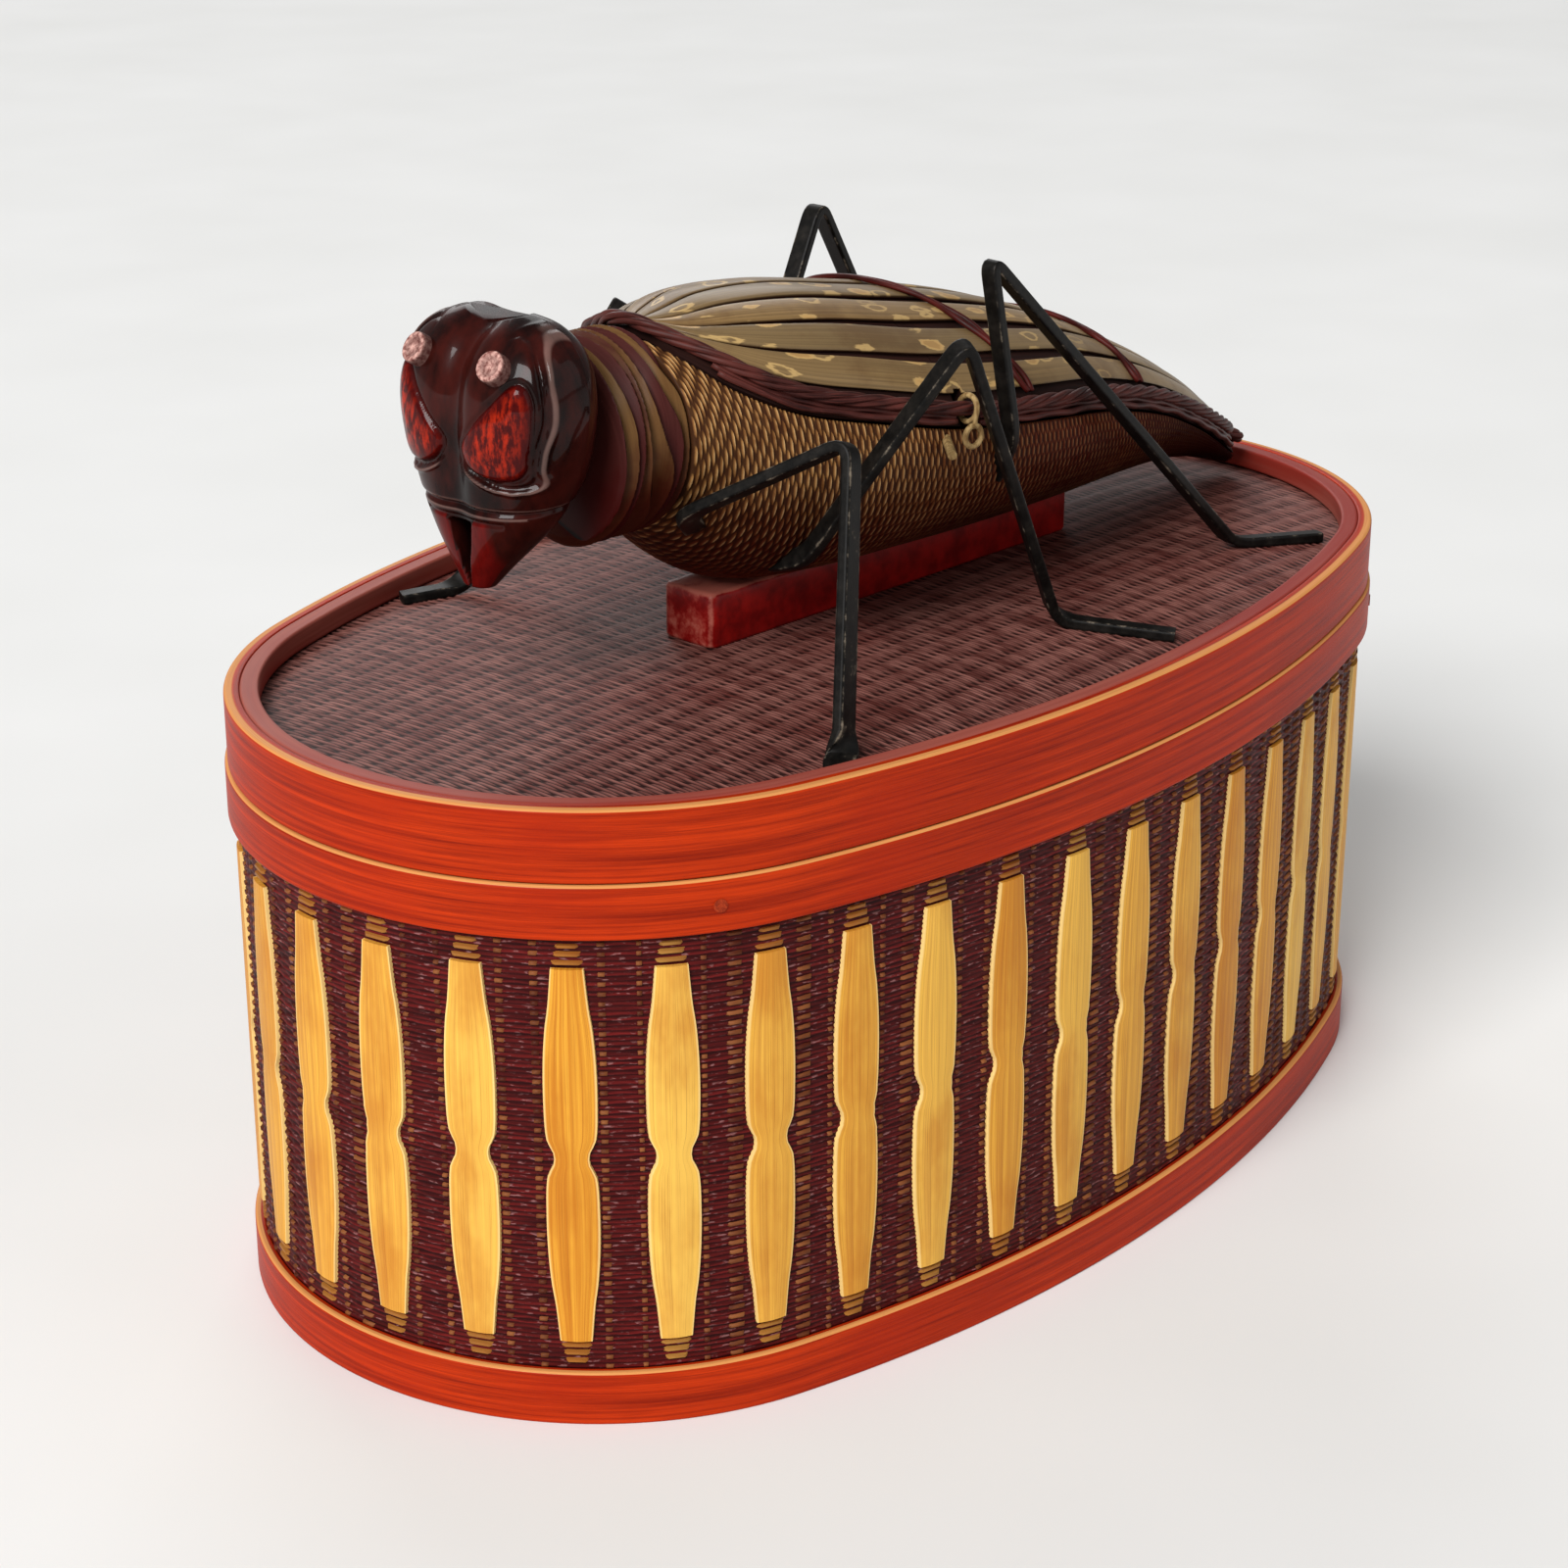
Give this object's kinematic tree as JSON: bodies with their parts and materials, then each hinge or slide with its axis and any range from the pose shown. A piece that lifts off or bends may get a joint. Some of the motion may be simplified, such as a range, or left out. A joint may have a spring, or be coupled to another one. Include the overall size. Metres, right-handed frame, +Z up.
{
  "type": "cricket box",
  "caption": "Oval woven bamboo box with lacquered hoops and a lift-off lid that carries a bamboo cricket whose wing cover opens on cane ties",
  "frame": {"origin": "centre of the underside, on the surface that the box stands on", "axes": "+Z up; +X along the box towards the cricket's tail; +Y across the box towards the cricket's right"},
  "size_m": [0.252, 0.147, 0.1734],
  "materials": {
    "lacquered_hoop": "orange-red lacquered bamboo, satin",
    "lid_ring": "pinkish red lacquered bamboo, worn satin",
    "plain_hoop": "bare ochre bamboo",
    "wall_weft": "fine dark stained bamboo weave",
    "splint": "pale golden bamboo, satin",
    "stake": "dashed brown and gold bamboo",
    "peg": "bare bamboo",
    "panel_weave": "fine twill weave, dark brown with a red sheen",
    "red_lacquer": "deep red lacquer, worn at the edges",
    "body_weave": "golden brown weave, red below",
    "neck_strip": "overlapping olive and dark red strips",
    "carved_head": "dark red-brown lacquer over carved wood, glossy",
    "cut_end": "cut bamboo end",
    "wing_strip": "olive tan bamboo with pale flecks, varnished",
    "braid": "dark braided cane",
    "red_lashing": "dark red cane lashing",
    "black_lacquer": "black lacquer, worn pale at the edges",
    "pale_cane": "bare pale cane"
  },
  "bodies": {
    "box": {"base_panel": "wall_weft", "base_hoop": "lacquered_hoop", "base_inner_hoop": "plain_hoop", "wall_weave": "wall_weft", "wall_splints": "splint", "wall_stakes": "stake", "rim_hoop": "lacquered_hoop", "rim_inner_hoop": "plain_hoop", "rim_pegs": "peg"},
    "lid": {"lid_hoop": "lacquered_hoop", "lid_rim_cap": "lid_ring", "lid_inner_hoop": "plain_hoop", "lid_panel": "panel_weave", "pedestal": "red_lacquer", "pedestal_pegs": "peg", "body_basket": "body_weave", "neck_wrap": "neck_strip", "head": "carved_head", "feeler_stubs": "cut_end", "leg_front_left": "black_lacquer", "leg_front_right": "black_lacquer", "leg_mid_left": "black_lacquer", "leg_mid_right": "black_lacquer", "leg_hind_left": "black_lacquer", "leg_hind_right": "black_lacquer", "hinge_ties": "pale_cane", "catch_peg": "pale_cane"},
    "wing_cover": {"wing_shell": "wing_strip", "wing_strips": "wing_strip", "wing_cane": "braid", "wing_lashings": "red_lashing"},
    "catch": {"catch_loop": "pale_cane"}
  },
  "joints": [
    {"name": "lid_lift", "type": "slide", "parent": "box", "child": "lid", "axis": [0, 0, 1], "range_m": [0, 0.12]},
    {"name": "wing_hinge", "type": "hinge", "parent": "lid", "child": "wing_cover", "pos_m": [-0.00325, 0.03169, 0.14647], "axis": [-0.9866, 0.1074, 0.123], "range_deg": [0, 45]},
    {"name": "catch_swing", "type": "hinge", "parent": "wing_cover", "child": "catch", "pos_m": [-0.00901, -0.03477, 0.14673], "axis": [-0.972, 0.1689, 0.1633], "range_deg": [0, 60]}
  ]
}
